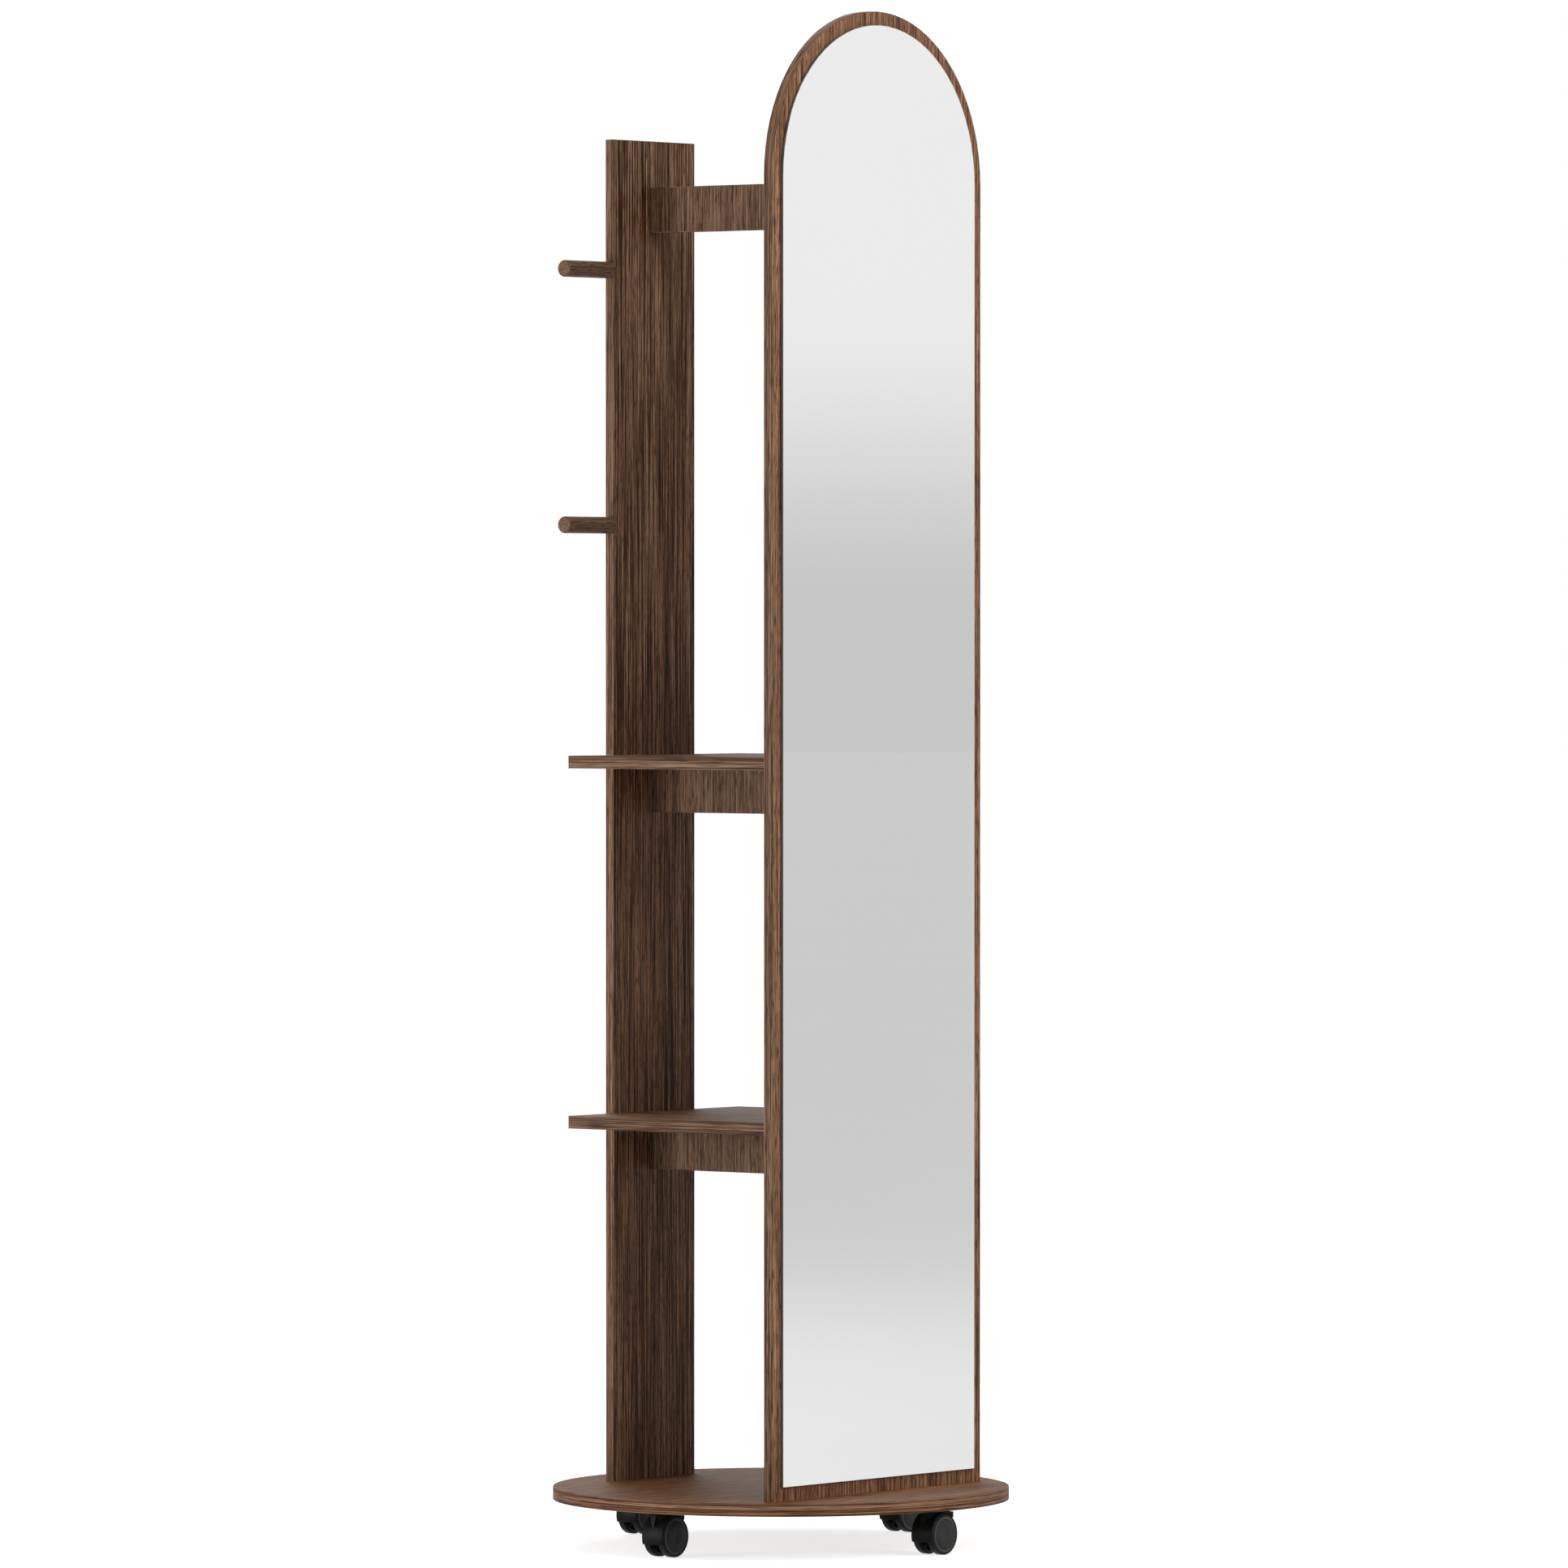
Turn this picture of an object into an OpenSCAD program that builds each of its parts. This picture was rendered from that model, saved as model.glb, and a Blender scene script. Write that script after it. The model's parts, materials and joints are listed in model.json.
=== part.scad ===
// Full-length storage mirror on a round rolling base.
// The arched mirror faces -Y, X runs across the mirror and +Z is up.
// The origin is on the floor, under the middle of the round base.

/* [Base board] */
// Diameter of the round base board
base_d = 540; // [520:5:620]
// Thickness of the base board
base_t = 15; // [14:1:25]

/* [Mirror board] */
// Width of the arched mirror board
mirror_w = 396; // [360:2:420]
// Height of the arched mirror board above the base
mirror_h = 1738; // [1660:2:1840]
// Thickness of the arched mirror board
mirror_t = 12; // [12:1:20]
// Distance from the middle of the base to the back of the mirror board
mirror_back = 133; // [110:1:140]
// Wood border left free round the glass
glass_border = 16; // [8:1:30]
// Thickness of the mirror glass
glass_t = 3; // [3:0.5:6]
// Thickness of the foam tape that holds the glass
tape_t = 0.8; // [0.5:0.1:2]
// Width of one strip of foam tape
tape_w = 24; // [12:1:40]

/* [Rear post] */
// Width of the rear post
post_w = 152; // [130:2:200]
// Height of the rear post above the base
post_h = 1595; // [1560:5:1700]
// Thickness of the rear post
post_t = 12; // [12:1:20]
// Clear depth between the mirror board and the rear post
bay_depth = 327; // [290:1:335]

/* [Shelves] */
// Width of each shelf
shelf_w = 320; // [260:2:360]
// Thickness of each shelf
shelf_t = 15; // [15:1:25]
// Height of the lower shelf's top above the base
lower_shelf_top = 438; // [300:2:560]
// Height of the upper shelf's top above the base
upper_shelf_top = 864; // [760:2:1000]

/* [Rails] */
// Height of each cross rail
rail_h = 54; // [48:1:80]
// Thickness of each cross rail
rail_t = 15; // [15:1:22]
// Height of the hanging rail's lower edge above the base
hanging_rail_bottom = 1486; // [1440:2:1500]

/* [Hat and scarf pegs] */
// Diameter of a peg
peg_d = 20; // [14:1:30]
// Length of a peg that stands out of the post
peg_len = 85; // [50:1:100]
// Rounding of the peg's free end
peg_round = 2; // [1:0.5:4]
// Height of the lower peg above the base
lower_peg_height = 1137; // [1000:2:1200]
// Height of the upper peg above the base
upper_peg_height = 1440; // [1300:2:1500]

/* [Edge strips] */
// Thickness of the strips glued round the board edges
band_t = 0.8; // [0.4:0.1:2]

/* [Furniture fittings] */
// Diameter of a wooden dowel
dowel_d = 6; // [5:0.5:8]
// Length of a wooden dowel
dowel_len = 30; // [25:1:40]
// Diameter of a cam lock
cam_d = 15; // [12:1:15]
// Depth of a cam lock
cam_depth = 12.5; // [11:0.5:13]
// Distance from a board's end to the middle of its cam lock
cam_setback = 24; // [20:1:34]
// Diameter of a cam bolt's shank
cam_bolt_d = 6; // [5:0.5:7]
// Depth that bolts and dowels reach into the face of an upright board
face_bite = 9; // [7:0.5:10]
// Shank diameter of the screws that hold the uprights to the base
base_screw_d = 4; // [3.5:0.5:5]
// Depth that those screws reach into the uprights
base_screw_bite = 32; // [20:1:45]
// Diameter of the stud inside a peg
stud_d = 6; // [5:0.5:8]
// Depth of the stud in the peg and in the post
stud_bite = 24; // [15:1:35]
// Clearance round fittings, on the radius
fit = 0.05; // [0.02:0.01:0.1]

/* [Casters] */
// Distance from the middle of the base to each caster's swivel
caster_radius = 224; // [200:1:228]
// Height from the floor to the underside of the base
caster_h = 55; // [54.5:0.5:65]
// Diameter of a wheel
wheel_d = 48; // [40:0.5:48]
// Width of one wheel
wheel_w = 9.5; // [8:0.5:12]
// Space between the two wheels of a caster
wheel_gap = 12; // [12:0.5:16]
// Distance from the swivel to the wheel axle
trail = 9; // [8.5:0.5:14]
// Thickness of the rubber tread
tread_t = 2.4; // [1.5:0.1:4]
// Diameter of the wheel axle
axle_d = 5; // [4:0.5:6]
// Diameter of the swivel stem
stem_d = 8; // [6:0.5:8]
// Wall thickness of the hood
hood_wall = 1.4; // [1.2:0.1:1.6]
// Gap between the hood and the tread
hood_clear = 0.7; // [0.5:0.1:1]
// Drop of the hood's front edge below the axle
hood_drop = 8.5; // [4:0.5:12]
// Reach of the hood's flat top behind the axle
hood_rear = 16; // [10:1:20]
// Side of the square mounting plate
plate_w = 40; // [36:1:44]
// Thickness of the mounting plate
plate_t = 2.5; // [2:0.1:3]

/* [Hidden] */
$fn = 96;
eps = 0.01;

// Colours of the boards, their edges and the fittings
walnut = "#5b4131";
walnut_edge = "#7a6151";
steel = "#b9bbbd";
black_plastic = "#242424";
black_rubber = "#151515";
beech = "#c8a878";

// Heights of the board faces above the floor
base_top = caster_h + base_t;
lower_shelf_z = base_top + lower_shelf_top;
upper_shelf_z = base_top + upper_shelf_top;
hanging_rail_z = base_top + hanging_rail_bottom;
lower_rail_z = lower_shelf_z - shelf_t - rail_h;
middle_rail_z = upper_shelf_z - shelf_t - rail_h;

// Faces of the uprights along Y
mirror_back_y = -mirror_back;
mirror_front_y = mirror_back_y - mirror_t;
glass_front_y = mirror_front_y - tape_t - glass_t;
post_front_y = mirror_back_y + bay_depth;
post_back_y = post_front_y + post_t;
mirror_mid_y = mirror_back_y - mirror_t / 2;
post_mid_y = post_front_y + post_t / 2;

// Size of the arched glass
glass_w = mirror_w - 2 * glass_border;
glass_h = mirror_h - 2 * glass_border;
glass_z = base_top + glass_border;
tape_inset = 18;
tape_step = 260;

// Cam bolt: thread in the upright, shank, thin neck and round head inside the lock
cam_thread_d = 0.83 * cam_bolt_d;
cam_neck_d = 0.67 * cam_bolt_d;
cam_neck_len = 0.2 * cam_setback;
cam_head_len = 0.6 * cam_bolt_d;
cam_bore_r = 0.57 * cam_bolt_d;
cam_key_w = 0.11 * cam_d;
cam_key_len = 0.53 * cam_d;
cam_key_depth = 0.16 * cam_depth;

// Fastener places, measured from the middle of each board, and up from a rail's lower edge
shelf_cam_x = 0.33 * post_w;
shelf_dowel_x = 0.18 * post_w;
rail_cam_up = 0.68 * rail_h;
rail_dowel_up = 0.28 * rail_h;
rail_shelf_dowel_y = 0.28 * bay_depth;
mirror_screw_x = 0.36 * mirror_w;
mirror_dowel_x = 0.25 * mirror_w;
post_screw_x = 0.37 * post_w;
post_dowel_x = 0.18 * post_w;
base_dowel_bite = 0.6 * base_t;
screw_head_d = 2.1 * base_screw_d;

// Caster heights and radii
wheel_r = wheel_d / 2;
core_r = wheel_r - tread_t;
clear_r = wheel_r + hood_clear;
hood_r = clear_r + hood_wall;
plate_z = caster_h - plate_t;
swivel_gap = 0.3;
collar_top = plate_z - swivel_gap;
collar_r = 10;
web_clear = 0.5;
web_w = wheel_gap - 2 * web_clear;
hood_w = wheel_gap + 2 * wheel_w - 1;
gusset_w = 10;
gusset_tip_w = 1.6;
gusset_reach = hood_r - 2;
gusset_sink = 1;
stem_bottom = wheel_r + 5;
stem_head_d = stem_d + 3;
ring_groove = 0.8;
ring_t = 1;
ring_z = stem_bottom + 2;
ring_out = 0.5;
axle_bite = wheel_w - 2.5;
axle_len = wheel_gap + 2 * axle_bite - 0.6;
axle_bore_r = axle_d / 2 + fit;
plate_round = 5;
plate_hole = plate_w / 2 - 5;
plate_screw_d = 3.5;
plate_screw_head = 7;
plate_screw_len = 12;

// Caster places: each swivel's place on the floor
front_at = [0, -caster_radius];
rear_at = [0, caster_radius];
left_at = [-caster_radius, 0];
right_at = [caster_radius, 0];
CASTERS = [front_at, rear_at, left_at, right_at];

// Where dowels run along Y, each starting in the face of an upright
function shelf_dowels(z) = [for (x = [-shelf_dowel_x, shelf_dowel_x]) [x, z - shelf_t / 2]];
function shelf_cams(z) = [for (x = [-shelf_cam_x, shelf_cam_x]) [x, z - shelf_t / 2]];
RAIL_Z = [lower_rail_z, middle_rail_z, hanging_rail_z];
RAIL_CAMS = [for (z = RAIL_Z) [0, z + rail_cam_up]];
RAIL_DOWELS = [for (z = RAIL_Z) [0, z + rail_dowel_up]];
SHELF_CAMS = concat(shelf_cams(lower_shelf_z), shelf_cams(upper_shelf_z));
SHELF_DOWELS = concat(shelf_dowels(lower_shelf_z), shelf_dowels(upper_shelf_z));
ALL_CAMS = concat(RAIL_CAMS, SHELF_CAMS);
ALL_DOWELS = concat(RAIL_DOWELS, SHELF_DOWELS);

// Screws and dowels between the base and the uprights
BASE_SCREWS = concat(
    [for (x = [-mirror_screw_x, 0, mirror_screw_x]) [x, mirror_mid_y]],
    [for (x = [-post_screw_x, post_screw_x]) [x, post_mid_y]]
);
BASE_DOWELS = concat(
    [for (x = [-mirror_dowel_x, mirror_dowel_x]) [x, mirror_mid_y]],
    [for (x = [-post_dowel_x, post_dowel_x]) [x, post_mid_y]]
);
PEG_Z = [base_top + lower_peg_height, base_top + upper_peg_height];

// General shapes

// A rod along Z
module rod(r, h) {
    cylinder(r = r, h = h);
}

// A rod along +Y from a point
module rod_y(r, len) {
    rotate([-90, 0, 0]) cylinder(r = r, h = len);
}

// A rod along +X from a point
module rod_x(r, len) {
    rotate([0, 90, 0]) cylinder(r = r, h = len);
}

// An upright arch that stands on the X axis: straight sides and a half round top
module arch_2d(w, h) {
    translate([-w / 2, 0]) square([w, h - w / 2]);
    translate([0, h - w / 2]) circle(d = w, $fn = 180);
}

// Draws a flat outline upright, in the XZ plane, with its front at y
module upright(y, t) {
    translate([0, y + t, 0]) rotate([90, 0, 0]) linear_extrude(t) children();
}

// A countersunk screw that points up, with its head's face at z = 0
module countersunk_screw(d, head_d, len) {
    head_h = (head_d - d) / 2;
    cylinder(d1 = head_d, d2 = d, h = head_h);
    translate([0, 0, head_h - eps]) cylinder(d = d, h = len - head_h + eps);
}

// Holes for cam bolts and dowels in the face of an upright, into +Y or -Y
module face_holes(face_y, dir) {
    start_y = dir > 0 ? face_y - eps : face_y - face_bite;
    for (p = ALL_CAMS) {
        translate([p[0], start_y, p[1]]) rod_y(cam_thread_d / 2 + fit, face_bite + eps);
    }
    for (p = ALL_DOWELS) {
        translate([p[0], start_y, p[1]]) rod_y(dowel_d / 2 + fit, face_bite + eps);
    }
}

// Holes in the lower end of an upright for its screws and dowels
module foot_holes() {
    for (p = BASE_SCREWS) {
        translate([p[0], p[1], base_top - eps]) rod(base_screw_d / 2 + fit, base_screw_bite + 1);
    }
    for (p = BASE_DOWELS) {
        translate([p[0], p[1], base_top - eps]) rod(dowel_d / 2 + fit, dowel_len - base_dowel_bite + 0.5);
    }
}

// Holes in a shelf or rail for the cam bolts and dowels that enter its two ends
module end_holes(cams, pins) {
    bolt_len = cam_setback;
    pin_len = dowel_len - face_bite + 0.5;
    for (p = cams) {
        translate([p[0], mirror_back_y - eps, p[1]]) rod_y(cam_bore_r, bolt_len);
        translate([p[0], post_front_y - bolt_len + eps, p[1]]) rod_y(cam_bore_r, bolt_len);
    }
    for (p = pins) {
        translate([p[0], mirror_back_y - eps, p[1]]) rod_y(dowel_d / 2 + fit, pin_len);
        translate([p[0], post_front_y - pin_len + eps, p[1]]) rod_y(dowel_d / 2 + fit, pin_len);
    }
}

// Y places of the two cam locks that pull on one line of bolts
CAM_Y = [mirror_back_y + cam_setback, post_front_y - cam_setback];

// Base

module base_holes() {
    for (p = BASE_SCREWS) {
        translate([p[0], p[1], caster_h - eps]) rod(base_screw_d / 2 + fit, base_t + 1);
        translate([p[0], p[1], caster_h - eps])
            cylinder(r1 = screw_head_d / 2 + fit, r2 = base_screw_d / 2 + fit, h = (screw_head_d - base_screw_d) / 2);
    }
    for (p = BASE_DOWELS) {
        translate([p[0], p[1], base_top - base_dowel_bite - 0.5]) rod(dowel_d / 2 + fit, base_dowel_bite + 1);
    }
    for (c = CASTERS) {
        for (x = [-plate_hole, plate_hole]) {
            for (y = [-plate_hole, plate_hole]) {
                translate([c[0] + x, c[1] + y, caster_h - eps])
                    rod(plate_screw_d / 2 + fit, plate_screw_len - plate_t + 0.5);
            }
        }
    }
}

module base_disc() {
    color(walnut) difference() {
        translate([0, 0, caster_h]) cylinder(r = base_d / 2 - band_t, h = base_t, $fn = 180);
        base_holes();
    }
}

module base_band() {
    color(walnut_edge) translate([0, 0, caster_h]) difference() {
        cylinder(d = base_d, h = base_t, $fn = 180);
        translate([0, 0, -1]) cylinder(r = base_d / 2 - band_t, h = base_t + 2, $fn = 180);
    }
}

// Mirror

module mirror_board() {
    color(walnut) difference() {
        translate([0, 0, base_top]) upright(mirror_front_y, mirror_t)
            arch_2d(mirror_w - 2 * band_t, mirror_h - band_t);
        face_holes(mirror_back_y, -1);
        foot_holes();
    }
}

module mirror_band() {
    color(walnut_edge) translate([0, 0, base_top]) upright(mirror_front_y, mirror_t) difference() {
        arch_2d(mirror_w, mirror_h);
        translate([0, -eps]) arch_2d(mirror_w - 2 * band_t, mirror_h - band_t + eps);
    }
}

module mirror_glass() {
    color("#dfe6ea") translate([0, 0, glass_z]) upright(glass_front_y, glass_t) arch_2d(glass_w, glass_h);
}

// Level strips of tape, each as wide as the glass at its height less an inset on both sides
module mirror_tape() {
    spring = glass_h - glass_w / 2;
    color("#e9e7e2") for (z = [tape_inset : tape_step : glass_h - tape_inset - tape_w]) {
        rise = max(0, z + tape_w - spring);
        half = sqrt(pow(glass_w / 2, 2) - pow(min(rise, glass_w / 2), 2)) - tape_inset;
        if (half > tape_w) {
            translate([-half, glass_front_y + glass_t, glass_z + z]) cube([2 * half, tape_t, tape_w]);
        }
    }
}

// Rear post

module stud_holes() {
    for (z = PEG_Z) {
        translate([-post_w / 2 - eps, post_mid_y, z]) rod_x(stud_d / 2 + fit, stud_bite + 0.5);
    }
}

module rear_post() {
    color(walnut) difference() {
        translate([-post_w / 2 + band_t, post_front_y, base_top]) cube([post_w - 2 * band_t, post_t, post_h - band_t]);
        face_holes(post_front_y, 1);
        foot_holes();
        stud_holes();
    }
}

module post_band() {
    color(walnut_edge) difference() {
        translate([-post_w / 2, post_front_y, base_top]) cube([post_w, post_t, post_h]);
        translate([-post_w / 2 + band_t, post_front_y - 1, base_top - 1])
            cube([post_w - 2 * band_t, post_t + 2, post_h - band_t + 1]);
        stud_holes();
    }
}

// Shelves

// A shelf whose top is at z, without its edge strip
module shelf_core(z) {
    difference() {
        translate([-shelf_w / 2 + band_t, mirror_back_y, z - shelf_t])
            cube([shelf_w - 2 * band_t, bay_depth - band_t, shelf_t]);
        end_holes(shelf_cams(z), shelf_dowels(z));
        for (x = [-shelf_cam_x, shelf_cam_x]) {
            for (y = CAM_Y) {
                translate([x, y, z - shelf_t - eps]) rod(cam_d / 2 + fit, cam_depth + eps);
            }
        }
        rail_top_dowel_holes(z - shelf_t);
    }
}

// The strip round a shelf's two long edges and its rear end
module shelf_strip(z) {
    difference() {
        translate([-shelf_w / 2, mirror_back_y, z - shelf_t]) cube([shelf_w, bay_depth, shelf_t]);
        translate([-shelf_w / 2 + band_t, mirror_back_y - 1, z - shelf_t - 1])
            cube([shelf_w - 2 * band_t, bay_depth - band_t + 1, shelf_t + 2]);
        end_holes(shelf_cams(z), shelf_dowels(z));
    }
}

// Upright dowel holes where a rail meets the underside of its shelf
module rail_top_dowel_holes(z) {
    for (y = [-rail_shelf_dowel_y, rail_shelf_dowel_y]) {
        translate([0, mirror_back_y + bay_depth / 2 + y, z - (dowel_len - face_bite) - 0.5])
            rod(dowel_d / 2 + fit, dowel_len + 1);
    }
}

module lower_shelf() {
    color(walnut) shelf_core(lower_shelf_z);
}

module lower_shelf_band() {
    color(walnut_edge) shelf_strip(lower_shelf_z);
}

module upper_shelf() {
    color(walnut) shelf_core(upper_shelf_z);
}

module upper_shelf_band() {
    color(walnut_edge) shelf_strip(upper_shelf_z);
}

// Rails

// A rail whose lower edge is at z; bands_on_top is 1 where the upper edge shows
module rail_core(z, bands_on_top) {
    difference() {
        translate([-rail_t / 2, mirror_back_y, z + band_t])
            cube([rail_t, bay_depth, rail_h - band_t - bands_on_top * band_t]);
        end_holes([[0, z + rail_cam_up]], [[0, z + rail_dowel_up]]);
        for (y = CAM_Y) {
            translate([rail_t / 2 - cam_depth, y, z + rail_cam_up]) rod_x(cam_d / 2 + fit, cam_depth + eps);
        }
        if (bands_on_top == 0) {
            rail_top_dowel_holes(z + rail_h);
        }
    }
}

module lower_rail() {
    color(walnut) rail_core(lower_rail_z, 0);
}

module middle_rail() {
    color(walnut) rail_core(middle_rail_z, 0);
}

module hanging_rail() {
    color(walnut) rail_core(hanging_rail_z, 1);
}

module rail_bands() {
    strips = concat(RAIL_Z, [hanging_rail_z + rail_h - band_t]);
    color(walnut_edge) for (z = strips) {
        translate([-rail_t / 2, mirror_back_y, z]) cube([rail_t, bay_depth, band_t]);
    }
}

// Pegs

// A turned peg along -X from the post's edge, rounded at its free end
module peg(z) {
    r = peg_d / 2;
    translate([-post_w / 2, post_mid_y, z]) rotate([0, -90, 0]) difference() {
        rotate_extrude() {
            square([r - peg_round, peg_len]);
            square([r, peg_len - peg_round]);
            intersection() {
                translate([r - peg_round, peg_len - peg_round]) circle(r = peg_round, $fn = 48);
                square([r, peg_len]);
            }
        }
        translate([0, 0, -eps]) rod(stud_d / 2 + fit, stud_bite + 0.5);
    }
}

module lower_peg() {
    color(walnut_edge) peg(PEG_Z[0]);
}

module upper_peg() {
    color(walnut_edge) peg(PEG_Z[1]);
}

module peg_studs() {
    color(steel) for (z = PEG_Z) {
        translate([-post_w / 2 - stud_bite, post_mid_y, z]) rod_x(stud_d / 2, 2 * stud_bite);
    }
}

// Fittings inside the boards

// A cam bolt whose thread ends at the origin's -Y side and whose head lies at +Y
module cam_bolt() {
    shank_len = cam_setback - cam_neck_len - cam_head_len / 2;
    translate([0, -face_bite + 0.5, 0]) rod_y(cam_thread_d / 2, face_bite - 0.5 + eps);
    rod_y(cam_bolt_d / 2, shank_len);
    rod_y(cam_neck_d / 2, cam_setback);
    translate([0, shank_len + cam_neck_len, 0]) rod_y(cam_bolt_d / 2, cam_head_len);
}

module cam_bolts() {
    color(steel) for (p = ALL_CAMS) {
        translate([p[0], mirror_back_y, p[1]]) cam_bolt();
        translate([p[0], post_front_y, p[1]]) rotate([0, 0, 180]) cam_bolt();
    }
}

// A cam lock with its open face at z = 0, its body above and the bolt's bore along Y
module cam_lock(bore_up) {
    difference() {
        cylinder(r = cam_d / 2, h = cam_depth - 0.1);
        translate([0, -cam_d, bore_up]) rod_y(cam_bolt_d / 2 + 0.5, 2 * cam_d);
        for (a = [45, 135]) {
            rotate([0, 0, a]) translate([-cam_key_len / 2, -cam_key_w / 2, -eps])
                cube([cam_key_len, cam_key_w, cam_key_depth]);
        }
    }
}

module cam_locks() {
    color(steel) {
        for (p = SHELF_CAMS) {
            for (y = CAM_Y) {
                translate([p[0], y, p[1] - shelf_t / 2]) cam_lock(shelf_t / 2);
            }
        }
        for (p = RAIL_CAMS) {
            for (y = CAM_Y) {
                translate([rail_t / 2, y, p[1]]) rotate([0, -90, 0]) cam_lock(rail_t / 2);
            }
        }
    }
}

// A dowel with chamfered ends, standing on z = 0
module dowel() {
    r = dowel_d / 2;
    chamfer = 0.27 * r;
    len = dowel_len - 0.5;
    cylinder(r1 = r - chamfer, r2 = r, h = chamfer);
    translate([0, 0, chamfer - eps]) cylinder(r = r, h = len - 2 * chamfer + 2 * eps);
    translate([0, 0, len - chamfer]) cylinder(r1 = r, r2 = r - chamfer, h = chamfer);
}

module dowels() {
    color(beech) {
        for (p = BASE_DOWELS) {
            translate([p[0], p[1], base_top - base_dowel_bite]) dowel();
        }
        for (p = ALL_DOWELS) {
            translate([p[0], mirror_back_y - face_bite + 0.5, p[1]]) rotate([-90, 0, 0]) dowel();
            translate([p[0], post_front_y + face_bite - 0.5, p[1]]) rotate([90, 0, 0]) dowel();
        }
        for (z = [lower_rail_z, middle_rail_z]) {
            for (y = [-rail_shelf_dowel_y, rail_shelf_dowel_y]) {
                translate([0, mirror_back_y + bay_depth / 2 + y, z + rail_h - (dowel_len - face_bite)]) dowel();
            }
        }
    }
}

module base_screws() {
    color(steel) for (p = BASE_SCREWS) {
        translate([p[0], p[1], caster_h]) countersunk_screw(base_screw_d, screw_head_d, base_t + base_screw_bite);
    }
}

// Casters

// Puts its children at each corner hole of each mounting plate
module at_plate_holes() {
    for (c = CASTERS) {
        for (x = [-plate_hole, plate_hole]) {
            for (y = [-plate_hole, plate_hole]) {
                translate([c[0] + x, c[1] + y, plate_z]) children();
            }
        }
    }
}

// A square outline with round corners
module rounded_square_2d(w, r) {
    square([w, w - 2 * r], center = true);
    square([w - 2 * r, w], center = true);
    for (x = [-1, 1]) {
        for (y = [-1, 1]) {
            translate([x * (w / 2 - r), y * (w / 2 - r)]) circle(r = r, $fn = 48);
        }
    }
}

module caster_plates() {
    color(black_plastic) difference() {
        for (c = CASTERS) {
            translate([c[0], c[1], plate_z]) linear_extrude(plate_t) rounded_square_2d(plate_w, plate_round);
        }
        for (c = CASTERS) {
            translate([c[0], c[1], plate_z - 1]) rod(stem_d / 2 + fit, plate_t + 2);
            translate([c[0], c[1], caster_h - (stem_head_d - stem_d) / 2])
                cylinder(r1 = stem_d / 2 + fit, r2 = stem_head_d / 2 + fit, h = (stem_head_d - stem_d) / 2 + eps);
        }
        at_plate_holes() {
            translate([0, 0, -1]) rod(plate_screw_d / 2 + fit, plate_t + 2);
            translate([0, 0, -eps]) cylinder(r1 = plate_screw_head / 2 + fit, r2 = plate_screw_d / 2 + fit,
                h = (plate_screw_head - plate_screw_d) / 2);
        }
    }
}

// The swivel stem: a flush riveted head, a round stem and a groove for its ring
module caster_stem() {
    head_h = (stem_head_d - stem_d) / 2;
    difference() {
        union() {
            translate([0, 0, stem_bottom]) cylinder(d = stem_d, h = caster_h - stem_bottom - head_h + eps);
            translate([0, 0, caster_h - head_h]) cylinder(d1 = stem_d, d2 = stem_head_d, h = head_h);
        }
        translate([0, 0, ring_z]) difference() {
            cylinder(d = stem_d + 2, h = ring_t);
            translate([0, 0, -1]) cylinder(r = stem_d / 2 - ring_groove, h = ring_t + 2);
        }
    }
}

module caster_stems() {
    color(steel) for (c = CASTERS) {
        translate([c[0], c[1], 0]) caster_stem();
    }
}

module caster_grip_rings() {
    color(steel) for (c = CASTERS) {
        translate([c[0], c[1], ring_z + 0.1]) difference() {
            cylinder(r = stem_d / 2 + ring_out, h = ring_t - 0.2);
            translate([0, 0, -1]) cylinder(r = stem_d / 2 - ring_groove + fit, h = ring_t + 2);
        }
    }
}

module caster_screws() {
    color(steel) at_plate_holes() countersunk_screw(plate_screw_d, plate_screw_head, plate_screw_len);
}

// Side outline of the hood about the axle, x to the rear and y up
module hood_side_2d() {
    intersection() {
        circle(r = hood_r);
        translate([-hood_r, -hood_drop]) square([hood_r, hood_r + hood_drop]);
    }
    square([hood_rear, hood_r]);
}

// Side outline of the web between the wheels
module web_side_2d() {
    intersection() {
        circle(r = hood_r - hood_wall / 2);
        translate([-hood_r, -hood_drop]) square([hood_r + hood_rear, 2 * hood_r]);
    }
}

// Stands a side outline up across the caster, centred on Y
module across(w) {
    translate([0, w / 2, 0]) rotate([90, 0, 0]) linear_extrude(w) children();
}

// The tapered rib down the hood's front, wide at the swivel and narrow where it runs into the cover
module gusset() {
    top = collar_top - wheel_r;
    foot = sqrt(pow(hood_r, 2) - pow(gusset_reach, 2)) - gusset_sink;
    translate([-gusset_reach, 0, 0]) rotate([90, 0, 90]) linear_extrude(gusset_reach - trail) polygon([
        [-gusset_tip_w / 2, foot], [gusset_tip_w / 2, foot],
        [gusset_w / 2, top], [-gusset_w / 2, top]
    ]);
}

// The moulded hood, about the axle: a curved cover over both wheels, a web and a swivel collar
module hood() {
    color(black_plastic) difference() {
        union() {
            difference() {
                union() {
                    across(hood_w) hood_side_2d();
                    translate([-trail, 0, 0]) rod(collar_r, collar_top - wheel_r);
                    gusset();
                }
                rotate([90, 0, 0]) translate([0, 0, -hood_w]) cylinder(r = clear_r, h = 2 * hood_w);
            }
            across(web_w) web_side_2d();
        }
        rotate([90, 0, 0]) translate([0, 0, -hood_w]) cylinder(r = axle_bore_r, h = 2 * hood_w);
        translate([-trail, 0, stem_bottom - wheel_r - 0.6]) rod(stem_d / 2 + fit, caster_h);
        translate([-trail, 0, ring_z - wheel_r - 0.1]) rod(stem_d / 2 + ring_out + fit, ring_t + 0.2);
    }
}

module axle() {
    color(steel) translate([0, -axle_len / 2, 0]) rod_y(axle_d / 2, axle_len);
}

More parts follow.
